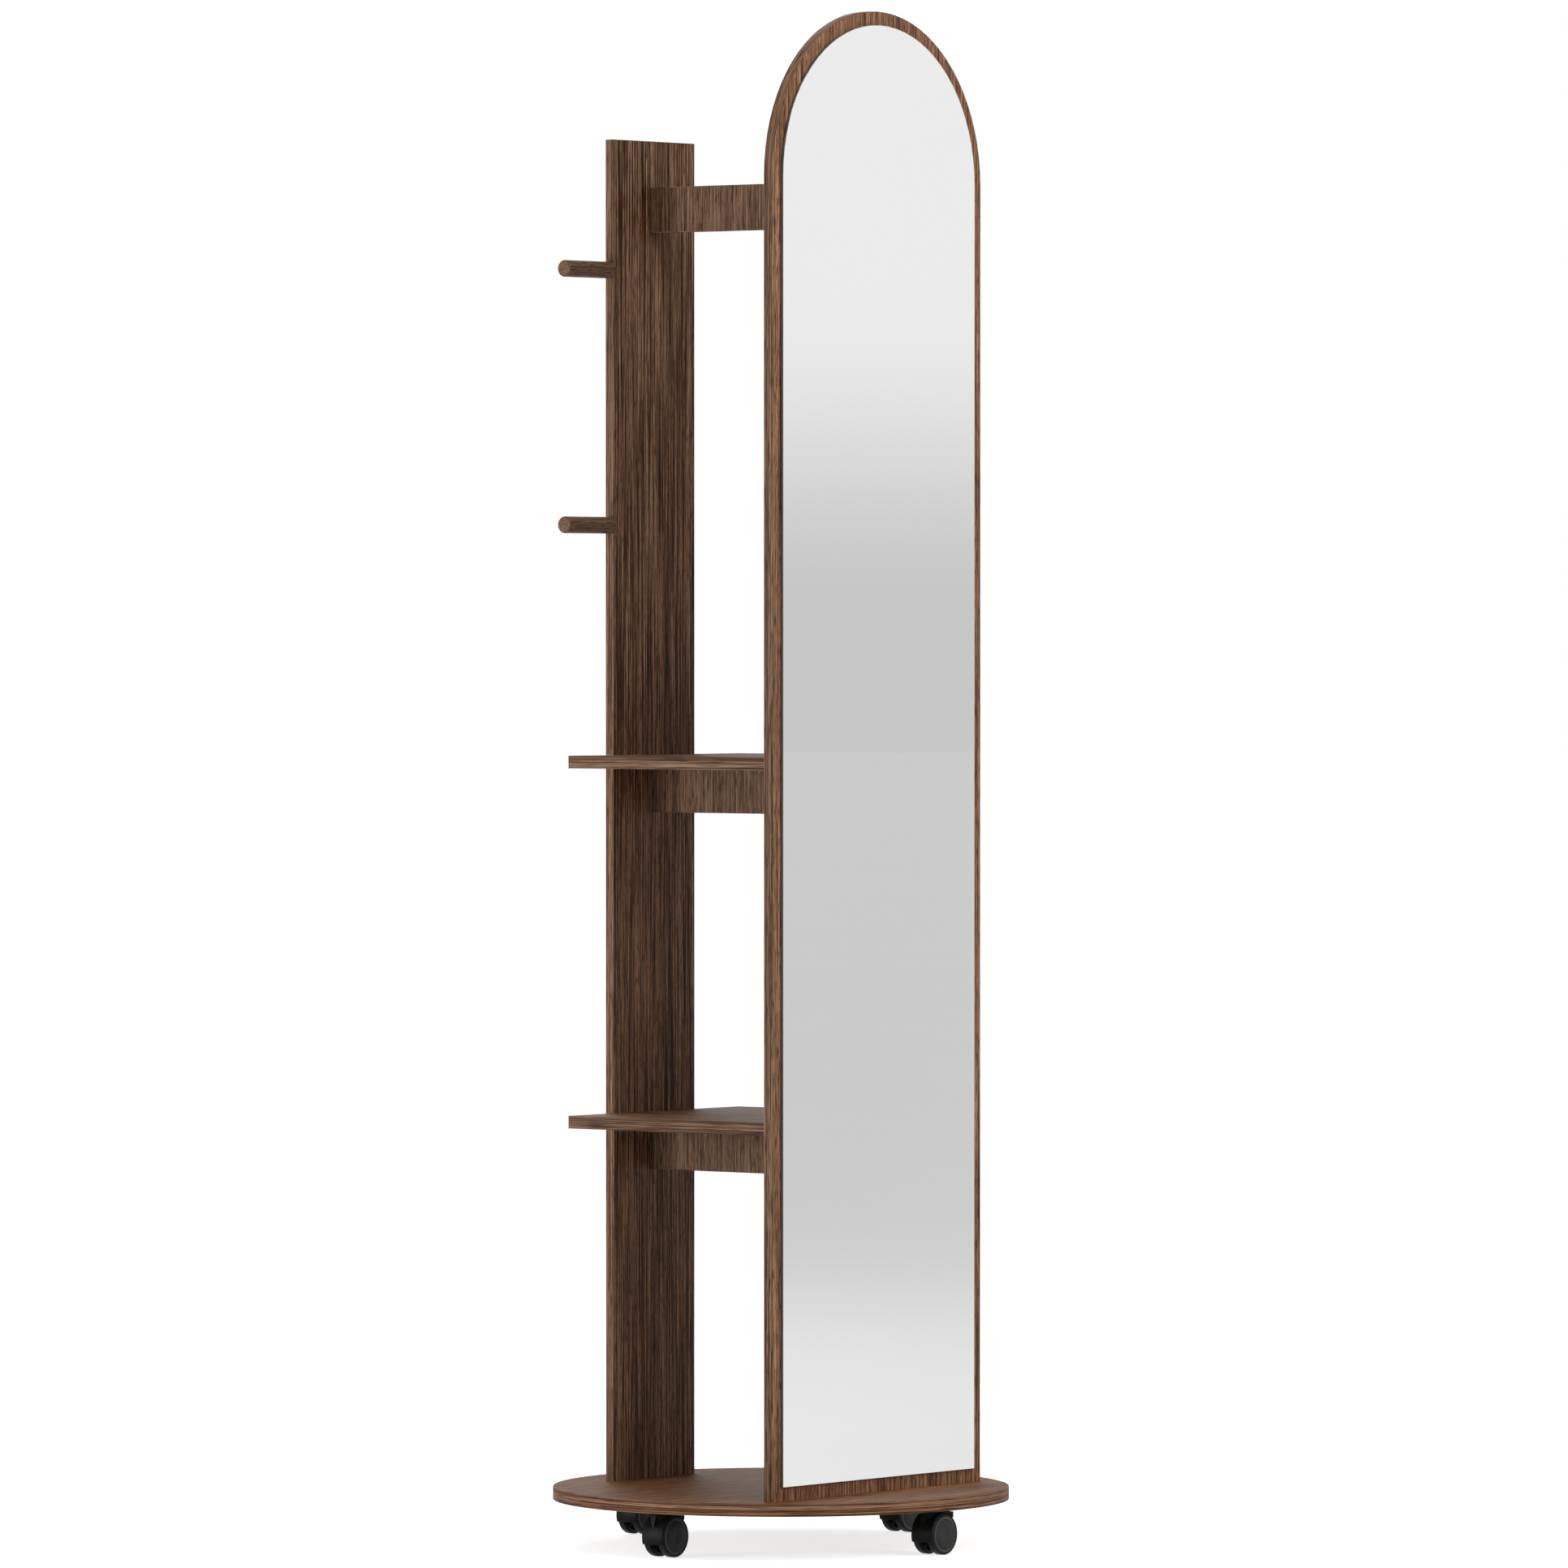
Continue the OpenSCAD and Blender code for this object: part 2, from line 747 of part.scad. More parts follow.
// Half section of a wheel's core: a closed face, a rim and a hub, open towards the web
module core_section_2d() {
    rim = 2;
    face_t = 1.8;
    hub_r = axle_d / 2 + 3.2;
    bead = 0.8;
    difference() {
        square([core_r, wheel_w]);
        translate([hub_r, face_t]) square([core_r - rim - hub_r, wheel_w]);
        translate([-1, wheel_w - axle_bite]) square([1 + axle_bore_r, wheel_w]);
        translate([-1, -1]) square([1 + core_r - 2 * bead, 1.3]);
    }
}

// A wheel's core with its face at y = 0 and its open side towards +Y
module wheel_core() {
    spokes = 6;
    spoke_t = 1.4;
    hub_r = axle_d / 2 + 2;
    color(black_plastic) rotate([-90, 0, 0]) {
        rotate_extrude() core_section_2d();
        for (i = [0 : spokes - 1]) {
            rotate([0, 0, i * 360 / spokes]) translate([hub_r, -spoke_t / 2, 1])
                cube([core_r - hub_r - 1, spoke_t, wheel_w - 3]);
        }
    }
}

// The tread: a ring with round shoulders, set a little below the wheel's face
module wheel_tread() {
    shoulder = min(1.1, tread_t / 2 - eps);
    sink = 0.5;
    tread_w = wheel_w - 2 * sink;
    color(black_rubber) rotate([-90, 0, 0]) rotate_extrude() {
        translate([core_r, sink]) {
            square([tread_t - shoulder, tread_w]);
            translate([0, shoulder]) square([tread_t, tread_w - 2 * shoulder]);
            for (y = [shoulder, tread_w - shoulder]) {
                translate([tread_t - shoulder, y]) circle(r = shoulder, $fn = 48);
            }
        }
    }
}

// Moves the hood, axle, wheels and treads from their axle to their caster
module at_axle(place) {
    translate([place[0] + trail, place[1], wheel_r]) children();
}

// Wheel a is on the -Y side and wheel b on the +Y side; both faces look outwards
module side_a() {
    translate([0, -wheel_gap / 2 - wheel_w, 0]) children();
}

module side_b() {
    mirror([0, 1, 0]) side_a() children();
}

base_disc();
base_band();
mirror_board();
mirror_band();
mirror_tape();
mirror_glass();
rear_post();
post_band();
lower_shelf();
lower_shelf_band();
upper_shelf();
upper_shelf_band();
lower_rail();
middle_rail();
hanging_rail();
rail_bands();
lower_peg();
upper_peg();
peg_studs();
cam_bolts();
cam_locks();
dowels();
base_screws();
caster_plates();
caster_stems();
caster_grip_rings();
caster_screws();
at_axle(front_at) hood();  // front_hood
at_axle(front_at) axle();  // front_axle
at_axle(front_at) side_a() wheel_core();  // front_wheel_a
at_axle(front_at) side_b() wheel_core();  // front_wheel_b
at_axle(front_at) side_a() wheel_tread();  // front_tread_a
at_axle(front_at) side_b() wheel_tread();  // front_tread_b
at_axle(rear_at) hood();  // rear_hood
at_axle(rear_at) axle();  // rear_axle
at_axle(rear_at) side_a() wheel_core();  // rear_wheel_a
at_axle(rear_at) side_b() wheel_core();  // rear_wheel_b
at_axle(rear_at) side_a() wheel_tread();  // rear_tread_a
at_axle(rear_at) side_b() wheel_tread();  // rear_tread_b
at_axle(left_at) hood();  // left_hood
at_axle(left_at) axle();  // left_axle
at_axle(left_at) side_a() wheel_core();  // left_wheel_a
at_axle(left_at) side_b() wheel_core();  // left_wheel_b
at_axle(left_at) side_a() wheel_tread();  // left_tread_a
at_axle(left_at) side_b() wheel_tread();  // left_tread_b
at_axle(right_at) hood();  // right_hood
at_axle(right_at) axle();  // right_axle
at_axle(right_at) side_a() wheel_core();  // right_wheel_a
at_axle(right_at) side_b() wheel_core();  // right_wheel_b
at_axle(right_at) side_a() wheel_tread();  // right_tread_a
at_axle(right_at) side_b() wheel_tread();  // right_tread_b
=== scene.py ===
# %% [markdown]
# # Full-length storage mirror
#
# The real object is an arched mirror on a round rolling base. A plank stands behind it, and shelves and
# rails join the two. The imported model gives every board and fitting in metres, with the floor at z = 0,
# the mirror facing -Y and +Z up. Boards that have the right shape stay as they are and only get a
# material. Whatever catches the light along an edge is made again here with rounded edges.

import json
import math

import bmesh
import bpy
from mathutils import Matrix, Vector


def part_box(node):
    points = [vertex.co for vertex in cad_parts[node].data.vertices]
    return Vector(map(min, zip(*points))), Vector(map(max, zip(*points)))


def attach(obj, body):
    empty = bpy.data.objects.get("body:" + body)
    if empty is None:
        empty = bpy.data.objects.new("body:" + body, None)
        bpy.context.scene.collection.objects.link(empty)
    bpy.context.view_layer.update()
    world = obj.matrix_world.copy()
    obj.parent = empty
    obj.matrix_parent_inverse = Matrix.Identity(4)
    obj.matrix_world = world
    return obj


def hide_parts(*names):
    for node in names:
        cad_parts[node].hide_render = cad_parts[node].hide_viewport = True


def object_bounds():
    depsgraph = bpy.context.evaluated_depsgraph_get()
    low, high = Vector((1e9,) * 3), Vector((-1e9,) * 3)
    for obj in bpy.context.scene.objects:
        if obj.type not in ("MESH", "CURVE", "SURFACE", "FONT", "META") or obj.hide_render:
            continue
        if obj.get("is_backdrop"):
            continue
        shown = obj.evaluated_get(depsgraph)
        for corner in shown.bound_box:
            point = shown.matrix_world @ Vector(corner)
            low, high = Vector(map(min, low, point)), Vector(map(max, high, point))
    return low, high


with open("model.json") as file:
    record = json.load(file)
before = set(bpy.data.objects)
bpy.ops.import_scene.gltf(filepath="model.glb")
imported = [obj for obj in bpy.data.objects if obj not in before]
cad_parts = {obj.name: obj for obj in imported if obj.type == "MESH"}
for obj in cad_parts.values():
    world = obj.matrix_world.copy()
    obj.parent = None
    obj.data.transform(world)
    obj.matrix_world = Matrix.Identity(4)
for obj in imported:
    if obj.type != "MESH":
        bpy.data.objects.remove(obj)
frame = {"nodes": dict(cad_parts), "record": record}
cad_box = [list(corner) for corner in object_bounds()]
nodes_of = frame["nodes"]
print("nodes", len(nodes_of), "box", [[round(v, 4) for v in corner] for corner in cad_box])

# %% [markdown]
# ## Camera
#
# A long lens far away keeps the uprights nearly parallel, as in a catalogue picture. The camera stands
# to the left of the mirror's front, 12.7 m away, a little above the middle of the mirror, and looks
# down by less than one degree. Its angle, distance and lens came from matching the outline of the disc,
# the arch and the shelves, so they are written as plain numbers.

# %% Place the camera
camera_azimuth = math.radians(-51.30)
camera_pitch = math.radians(0.8703)
camera_distance = 12.7072
camera_height = 1.0935
focal_length = 246.70
sideways_shift = 0.0019

lens = bpy.data.cameras.new("camera")
lens.sensor_width = 36.0
lens.lens = focal_length
lens.shift_x = sideways_shift
lens.clip_end = 200.0
camera = bpy.data.objects.new("camera", lens)
bpy.context.scene.collection.objects.link(camera)
camera.location = (
    camera_distance * math.sin(camera_azimuth),
    -camera_distance * math.cos(camera_azimuth),
    camera_height,
)
camera.rotation_euler = (math.pi / 2 - camera_pitch, 0.0, camera_azimuth)
bpy.context.scene.camera = camera
print("camera at", [round(v, 3) for v in camera.location])

# %% [markdown]
# ## Tools for materials
#
# Every finish here is drawn by nodes on Object coordinates, which are metres on the real object. A
# Mapping node squeezes one axis, so a plain noise becomes long streaks. The same few nodes come back in
# every finish, so small helpers add them. The first cell starts a material and adds a stretched noise,
# the second deals with colours, and the third with sums, roughness and relief.

# %% Start a material and stretch a noise
def start_material(name):
    made = bpy.data.materials.new(name)
    made.use_nodes = True
    tree = made.node_tree
    return made, tree, tree.nodes["Principled BSDF"]


def coordinates(tree):
    found = tree.nodes.get("Texture Coordinate") or tree.nodes.new("ShaderNodeTexCoord")
    return found.outputs["Object"]


def noise(tree, scale, detail=2.0, rough=0.5, source=None, shift=(0, 0, 0)):
    """A noise node that changes about scale times a metre along X, Y and Z."""
    place = tree.nodes.new("ShaderNodeMapping")
    place.inputs["Scale"].default_value = scale
    place.inputs["Location"].default_value = shift
    tree.links.new(source or coordinates(tree), place.inputs["Vector"])
    made = tree.nodes.new("ShaderNodeTexNoise")
    made.inputs["Scale"].default_value = 1.0
    made.inputs["Detail"].default_value = detail
    made.inputs["Roughness"].default_value = rough
    tree.links.new(place.outputs["Vector"], made.inputs["Vector"])
    return made


print("materials before the first finish", len(bpy.data.materials))

# %% Colours
def linear(part):
    share = part / 255
    return ((share + 0.055) / 1.055) ** 2.4 if share > 0.04045 else share / 12.92


def srgb(red, green, blue):
    """A colour as a picture gives it, 0 to 255, as the linear values that a shader takes."""
    return tuple(linear(part) for part in (red, green, blue))


def ramp(tree, value, stops):
    made = tree.nodes.new("ShaderNodeValToRGB")
    line = made.color_ramp.elements
    while len(line) < len(stops):
        line.new(0.5)
    for element, (at, colour) in zip(line, stops):
        element.position = at
        element.color = (*colour, 1.0)
    tree.links.new(value, made.inputs["Fac"])
    return made.outputs["Color"]


def multiplied(tree, first, second):
    made = tree.nodes.new("ShaderNodeMix")
    made.data_type = "RGBA"
    made.blend_type = "MULTIPLY"
    made.inputs["Factor"].default_value = 1.0
    tree.links.new(first, made.inputs["A"])
    tree.links.new(second, made.inputs["B"])
    return made.outputs["Result"]


print("a walnut brown, linear", [round(part, 3) for part in srgb(98, 72, 55)])

# %% Sums, roughness and relief
noise_low, noise_high = 0.3, 0.7


def maths(tree, kind, first, second):
    made = tree.nodes.new("ShaderNodeMath")
    made.operation = kind
    for socket, value in zip(made.inputs, (first, second)):
        if isinstance(value, (int, float)):
            socket.default_value = value
        else:
            tree.links.new(value, socket)
    return made.outputs["Value"]


def spread(tree, value, low, high):
    """Stretches the middle of a noise, where most of it lies, between two values."""
    made = tree.nodes.new("ShaderNodeMapRange")
    made.inputs["To Min"].default_value = low
    made.inputs["To Max"].default_value = high
    made.inputs["From Min"].default_value = noise_low
    made.inputs["From Max"].default_value = noise_high
    tree.links.new(value, made.inputs["Value"])
    return made.outputs["Result"]


def bump(tree, shader, height, strength, distance):
    made = tree.nodes.new("ShaderNodeBump")
    made.inputs["Strength"].default_value = strength
    made.inputs["Distance"].default_value = distance
    tree.links.new(height, made.inputs["Height"])
    tree.links.new(made.outputs["Normal"], shader.inputs["Normal"])


print("a noise lies mostly between", noise_low, "and", noise_high)

# %% [markdown]
# ## Walnut laminate
#
# The boards are laminated chipboard with a straight-grained walnut print. Close up it shows three
# things: faint bands a few centimetres wide, clear streaks one to three millimetres wide and 10 to 40
# centimetres long, and short dark pores. A scanned picture of wood is the usual way to show them. Noise
# is used here, because it needs no file and never repeats, and each of the three is one stretched noise.
# A slow noise pushes them sideways a little, because real grain is never ruled. The same recipe with
# other axes and colours gives the edge strips, the pegs and the dowels.

# %% Where the grain runs
drift_scale = 2.6


def along(axes, across, lengthways):
    """A scale with many changes a metre across the grain, and few on the axes that it follows."""
    return tuple(lengthways if axis in axes else across for axis in "XYZ")


def wandering_place(tree, wander):
    """Object coordinates, pushed aside by a slow noise by up to the distance given."""
    drift = noise(tree, (drift_scale,) * 3, detail=1.0)
    pushed = tree.nodes.new("ShaderNodeVectorMath")
    pushed.operation = "MULTIPLY_ADD"
    pushed.inputs[1].default_value = (wander,) * 3
    tree.links.new(drift.outputs["Color"], pushed.inputs[0])
    tree.links.new(coordinates(tree), pushed.inputs[2])
    return pushed.outputs["Vector"]


print("a scale for grain up a board", along("Z", 800.0, 6.0))

# %% A grain recipe
band_scales = (34.0, 0.9)
band_share = 0.1
tone_steps = (-0.08, -0.025, 0.025, 0.09)
pore_factors = (1.4, 9.0)
pore_shade = (0.34, 0.3, 0.28)
streak_shift, pore_shift = (3.1, 1.7, 5.3), (7.7, 2.9, 0.4)
streak_relief = 0.4
grain_strength, grain_depth = 0.25, 0.00012
wood_shine = 0.1


def grained_wood(name, axes, tones, streak=420.0, run=8.0, wander=0.003, contrast=1.0, gloss=(0.5, 0.64)):
    """Wood whose streaks change streak times a metre across the grain and run times along it."""
    made, tree, shader = start_material(name)
    place = wandering_place(tree, wander)
    bands = noise(tree, along(axes, *band_scales), detail=3.0, source=place).outputs["Fac"]
    scale = along(axes, streak, run)
    streaks = noise(tree, scale, detail=3.0, rough=0.6, source=place, shift=streak_shift).outputs["Fac"]
    scale = along(axes, pore_factors[0] * streak, pore_factors[1] * run)
    pores = noise(tree, scale, detail=2.0, source=place, shift=pore_shift).outputs["Fac"]
    mixed = maths(
        tree,
        "ADD",
        maths(tree, "MULTIPLY", bands, band_share),
        maths(tree, "MULTIPLY", streaks, 1.0 - band_share),
    )
    stops = [0.5 + step / contrast for step in tone_steps]
    colour = ramp(tree, mixed, list(zip(stops, tones)))
    holes = ramp(tree, pores, [(0.38, pore_shade), (0.5, (1.0, 1.0, 1.0))])
    tree.links.new(multiplied(tree, colour, holes), shader.inputs["Base Color"])
    tree.links.new(spread(tree, streaks, *gloss), shader.inputs["Roughness"])
    shader.inputs["Specular IOR Level"].default_value = wood_shine
    relief = maths(tree, "ADD", holes, maths(tree, "MULTIPLY", streaks, streak_relief))
    bump(tree, shader, relief, grain_strength, grain_depth)
    return made


print("bands are mm wide", round(1000 / band_scales[0]))

# %% Tones of the woods, each from dark to light
post_tones = [srgb(52, 26, 11), srgb(105, 76, 54), srgb(133, 96, 68), srgb(180, 145, 117)]
shelf_tones = [srgb(44, 24, 12), srgb(101, 74, 53), srgb(128, 90, 62), srgb(168, 131, 100)]
front_tones = [srgb(66, 39, 23), srgb(112, 78, 56), srgb(132, 95, 70), srgb(165, 126, 98)]
rail_tones = [srgb(72, 47, 32), srgb(104, 77, 58), srgb(118, 90, 70), srgb(142, 114, 92)]
disc_tones = [srgb(68, 38, 18), srgb(107, 68, 39), srgb(123, 82, 50), srgb(149, 107, 71)]
disc_strip_tones = [srgb(71, 42, 23), srgb(108, 76, 54), srgb(125, 91, 66), srgb(153, 117, 90)]
strip_tones = [srgb(70, 44, 29), srgb(106, 78, 59), srgb(122, 93, 72), srgb(150, 119, 96)]
peg_tones = [srgb(84, 56, 39), srgb(114, 84, 64), srgb(124, 94, 73), srgb(140, 110, 88)]
beech_tones = [srgb(172, 136, 96), srgb(196, 162, 120), srgb(206, 174, 132), srgb(220, 190, 150)]
print("the post's darkest tone", [round(part, 3) for part in post_tones[0]])

# %% Finishes of the boards
walnut_upright = grained_wood(
    "walnut, grain up", "Z", post_tones, streak=800.0, run=6.0, wander=0.001, contrast=1.15
)
walnut_front = grained_wood(
    "walnut, mirror board", "Z", front_tones, streak=500.0, run=6.0, wander=0.0015, contrast=0.58
)
walnut_rail = grained_wood(
    "walnut, grain across a rail", "Z", rail_tones, streak=640.0, run=6.0, wander=0.0012, contrast=0.66
)
walnut_shelf = grained_wood("walnut, grain front to back", "Y", shelf_tones, run=4.0)
walnut_disc = grained_wood("walnut, grain across the base", "X", disc_tones, run=2.5, contrast=0.85)
print("boards", [made.name for made in bpy.data.materials if "walnut" in made.name])

# %% Finishes of the edge strips, pegs and dowels
strip_upright = grained_wood(
    "edge strip of an upright", "XZ", strip_tones, streak=600.0, run=4.0, wander=0.001, contrast=0.7
)
strip_level = grained_wood(
    "edge strip of a level board", "XY", strip_tones, streak=600.0, run=2.0, wander=0.001, contrast=0.8
)
strip_disc = grained_wood(
    "edge strip of the base", "XY", disc_strip_tones, streak=600.0, run=2.0, wander=0.001
)
strip_rail = grained_wood(
    "edge strip of a rail", "YZ", strip_tones, streak=600.0, run=4.0, wander=0.001, contrast=0.7
)
peg_wood = grained_wood(
    "turned peg", "X", peg_tones, streak=700.0, wander=0.002, contrast=0.6, gloss=(0.34, 0.44)
)
dowel_beech = grained_wood(
    "beech dowel", "YZ", beech_tones, streak=600.0, contrast=0.7, gloss=(0.55, 0.7)
)
print("strips", [made.name for made in bpy.data.materials if "strip" in made.name])

# %% [markdown]
# ## Metal, plastic, rubber and tape
#
# The casters are moulded in black plastic with a fine spark-eroded grain. The treads are smoother and
# blacker. Screws are zinc plated steel, the cam locks are cast zinc and the foam tape has open cells.
# One plain colour would look like none of them. All have the same build, a slow mottle in colour and
# gloss over a very fine grain in the relief, so one recipe with other numbers makes all seven.

# %% A recipe for mottled, fine-grained finishes
mottle_scale = 60.0


def mottle(tree, shader, value, tones, gloss, ends=(noise_low, noise_high)):
    """Lets one noise change the colour between two tones, and the roughness between two values."""
    tree.links.new(ramp(tree, value, list(zip(ends, tones))), shader.inputs["Base Color"])
    tree.links.new(spread(tree, value, *gloss), shader.inputs["Roughness"])


def speckled(name, colour, gloss, grain, strength, depth, metal=0.0, tint=0.12, shine=0.5):
    made, tree, shader = start_material(name)
    slow = noise(tree, (mottle_scale,) * 3, detail=2.0)
    fine = noise(tree, (grain,) * 3)
    darker = tuple(part * (1 - tint) for part in colour)
    lighter = tuple(min(1.0, part * (1 + tint)) for part in colour)
    mottle(tree, shader, slow.outputs["Fac"], (darker, lighter), gloss, ends=(0.35, 0.65))
    shader.inputs["Metallic"].default_value = metal
    shader.inputs["Specular IOR Level"].default_value = shine
    bump(tree, shader, fine.outputs["Fac"], strength, depth)
    return made


print("the mottle is mm wide", round(1000 / mottle_scale, 1))

# %% Plastic, rubber, steel, zinc and foam
moulded_grain = {"grain": 2600.0, "strength": 0.12, "depth": 0.00008}

hood_plastic = speckled(
    "moulded black plastic", srgb(17, 17, 16), (0.42, 0.54), **moulded_grain, shine=0.1
)
wheel_plastic = speckled("wheel plastic", srgb(24, 22, 21), (0.42, 0.54), **moulded_grain, shine=0.28)
tread_rubber = speckled(
    "tread", srgb(5, 5, 5), (0.34, 0.46), grain=900.0, strength=0.05, depth=0.00005, tint=0.25, shine=0.2
)
# The ring on a wheel's face is glossier, and its lighter colour is a painted highlight along it.
lip_plastic_painted_highlight = speckled(
    "polished lip with painted highlight", srgb(58, 55, 52), (0.16, 0.24), grain=2600.0, strength=0.04, depth=0.00004, shine=0.6
)
steel = speckled(
    "zinc plated steel",
    (0.52, 0.53, 0.54),
    (0.26, 0.38),
    grain=1500.0,
    strength=0.08,
    depth=0.00005,
    metal=1.0,
)
cast_zinc = speckled(
    "cast zinc", (0.5, 0.5, 0.51), (0.38, 0.52), grain=1100.0, strength=0.25, depth=0.0001, metal=1.0
)
foam = speckled(
    "foam tape", (0.74, 0.73, 0.70), (0.85, 0.95), grain=1400.0, strength=0.8, depth=0.0003, tint=0.05
)
plain_finishes = (hood_plastic, wheel_plastic, tread_rubber, lip_plastic_painted_highlight, steel, cast_zinc, foam)
print("mottled finishes", [finish.name for finish in plain_finishes])

# %% [markdown]
# ## Mirror glass
#
# A mirror is clear glass with a silver coat on its back. It could be built as glass over metal, but from
# in front all that shows is the silver, so its face is a metal with almost no roughness and a faint
# green tint. The edge has no silver, and the dark board would show through the glass there, so the edge's
# colour is a painted reflection of the board: a thin dark line beside the silver. A very slow noise makes
# the gloss of the face change a little from place to place, and fine lines round the edge are what the
# grinding wheel leaves.

# %% Silvered face, and ground edge with a painted reflection
silver_tones = ((0.872, 0.879, 0.874), (0.886, 0.892, 0.888))
# The edge's dark tones are a painted reflection of the board seen through the glass.
edge_tones_painted_reflection = (srgb(76, 72, 63), srgb(112, 108, 98))


def silvered_glass():
    made, tree, shader = start_material("silvered glass")
    slow = noise(tree, (1.6, 1.6, 1.2), detail=1.0)
    mottle(tree, shader, slow.outputs["Fac"], silver_tones, gloss=(0.012, 0.022))
    shader.inputs["Metallic"].default_value = 1.0
    return made


def ground_edge_painted_reflection():
    made, tree, shader = start_material("ground glass edge with painted reflection")
    lines = noise(tree, (500.0, 900.0, 500.0), detail=2.0)
    mottle(tree, shader, lines.outputs["Fac"], edge_tones_painted_reflection, gloss=(0.08, 0.2))
    shader.inputs["Coat Weight"].default_value = 0.4
    shader.inputs["Coat Roughness"].default_value = 0.05
    bump(tree, shader, lines.outputs["Fac"], strength=0.1, distance=0.00005)
    return made


mirror_face = silvered_glass()
glass_edge_painted_reflection = ground_edge_painted_reflection()
print("glass finishes", mirror_face.name, glass_edge_painted_reflection.name)

# %% [markdown]
# ## Dress the boards that stay
#
# A board's CAD node already is the real board with its holes. It could be modelled again, but nothing
# would be gained, so it only gets a material. Its grain follows the way the real board was cut: up the
# two uprights, across each rail, front to back on the shelves and from side to side on the round base.
# No two panels of laminate have the same tone: the rails are a little greyer and plainer than the rear
# post, and the mirror board is a little warmer.

# %% Give materials to nodes
def dress(finish, *names):
    for name in names:
        mesh = nodes_of[name].data
        mesh.materials.clear()
        mesh.materials.append(finish)
    print(finish.name, "on", ", ".join(names))


dress(walnut_upright, "rear_post")
dress(walnut_front, "mirror_board")
dress(walnut_rail, "lower_rail", "middle_rail", "hanging_rail")
dress(walnut_shelf, "lower_shelf", "upper_shelf")
dress(walnut_disc, "base_disc")
dress(dowel_beech, "dowels")
dress(foam, "mirror_tape")
dress(steel, "peg_studs", "cam_bolts", "caster_stems", "caster_grip_rings")
dress(steel, *[name for name in nodes_of if name.endswith("_axle")])
dress(cast_zinc, "cam_locks")

# %% [markdown]
# ## Tools for pieces
#
# A new piece is a bmesh that ends as an object at the origin, with its place in its mesh. It rides on
# the body of the node that it stands for, and that node is hidden. The copy of a CAD node is loose
# triangles, so its corners are merged and its flat triangles joined before an edge is rounded. A Bevel
# modifier would round the same edges, but the operator leaves a plain mesh, and the edges can be picked
# in code. A thin bevel on an edge is what makes it catch a line of light.

# %% Turn a bmesh into a piece
bodies = frame["record"]["behaviour"]["bodies"]
body_of = {name: body for body, names in bodies.items() for name in names}


def object_from(name, shape):
    mesh = bpy.data.meshes.new(name)
    shape.to_mesh(mesh)
    shape.free()
    made = bpy.data.objects.new(name, mesh)
    bpy.context.scene.collection.objects.link(made)
    return made


def finish_piece(name, shape, finishes, node, smooth_angle=32.0):
    piece = object_from(name, shape)
    for polygon in piece.data.polygons:
        polygon.use_smooth = True
    piece.data.set_sharp_from_angle(angle=math.radians(smooth_angle))
    for finish in finishes:
        piece.data.materials.append(finish)
    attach(piece, body_of[node])
    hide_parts(node)
    return piece


# %% Copy a node and round its edges
merge_distance = 2e-6
flat_angle = math.radians(0.3)


def cad_copy(node):
    shape = bmesh.new()
    shape.from_mesh(nodes_of[node].data)
    bmesh.ops.remove_doubles(shape, verts=shape.verts, dist=merge_distance)
    bmesh.ops.dissolve_limit(
        shape,
        angle_limit=flat_angle,
        verts=shape.verts,
        edges=shape.edges,
        use_dissolve_boundaries=False,
    )
    return shape


def sharp_edges(shape, degrees=35.0):
    limit = math.radians(degrees)
    return [e for e in shape.edges if len(e.link_faces) == 2 and e.calc_face_angle(0.0) > limit]


def round_edges(shape, size, edges, segments=3):
    bmesh.ops.bevel(
        shape,
        geom=edges,
        offset=size,
        offset_type="OFFSET",
        affect="EDGES",
        segments=segments,
        profile=0.5,
        clamp_overlap=True,
        material=-1,
    )


print("corners closer than", 1000 * merge_distance, "mm are merged")

# %% [markdown]
# ## Edge strips
#
# Each board's edge is covered by a glued plastic strip 0.8 mm thick, and the machine that trims it
# leaves its outer corners slightly round. Rounding every sharp edge would be simpler, but it would open
# a gap between the strip and its board. So only the outer corners are rounded: an edge is one of them
# when its faces look away from the middle of the board.

# %% Round the outer corners of the strips
strip_corner = 0.0004


def outer_edges(shape, middle):
    found = []
    for edge in sharp_edges(shape):
        centre = (edge.verts[0].co + edge.verts[1].co) / 2
        if sum(face.normal.dot(centre - middle) for face in edge.link_faces) > 0:
            found.append(edge)
    return found


def edge_strip(node, board, finish):
    shape = cad_copy(node)
    low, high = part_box(board)
    round_edges(shape, strip_corner, outer_edges(shape, (low + high) / 2))
    bmesh.ops.dissolve_degenerate(shape, dist=merge_distance, edges=shape.edges)
    piece = finish_piece(node + "_rounded", shape, [finish], node)
    print(piece.name, len(piece.data.polygons), "faces")


edge_strip("base_band", "base_disc", strip_disc)
edge_strip("mirror_band", "mirror_board", strip_upright)
edge_strip("post_band", "rear_post", strip_upright)
edge_strip("lower_shelf_band", "lower_shelf", strip_level)
edge_strip("upper_shelf_band", "upper_shelf", strip_level)

# %% [markdown]
# ## Strips of the rails
#
# The rails' strips are four flat ribbons in one node, so there is no one middle to look away from.
# Their long edges are all rounded alike, by half as much, and the short ones at their ends stay sharp.

# %% Round the ribbons
ribbon_corner = 0.0002
long_edge = 0.1

ribbons = cad_copy("rail_bands")
ribbon_edges = [e for e in sharp_edges(ribbons) if e.calc_length() > long_edge]
print("ribbon edges", len(ribbon_edges))
round_edges(ribbons, ribbon_corner, ribbon_edges, segments=2)
finish_piece("rail_strips", ribbons, [strip_rail], "rail_bands")

# %% [markdown]
# ## The glass pane
#
# The pane keeps the CAD outline. Its front edge is ground to a flat less than a millimetre wide all
# round. A rounded bevel would blur that flat, so it is cut with a single segment, and every face that
# isn't the flat front gets the ground edge's finish, whose dark colour is a painted reflection of the
# board.

# %% Grind the glass edge
ground_width = 0.0005
same_plane = 1e-5
straight_ahead = -0.999

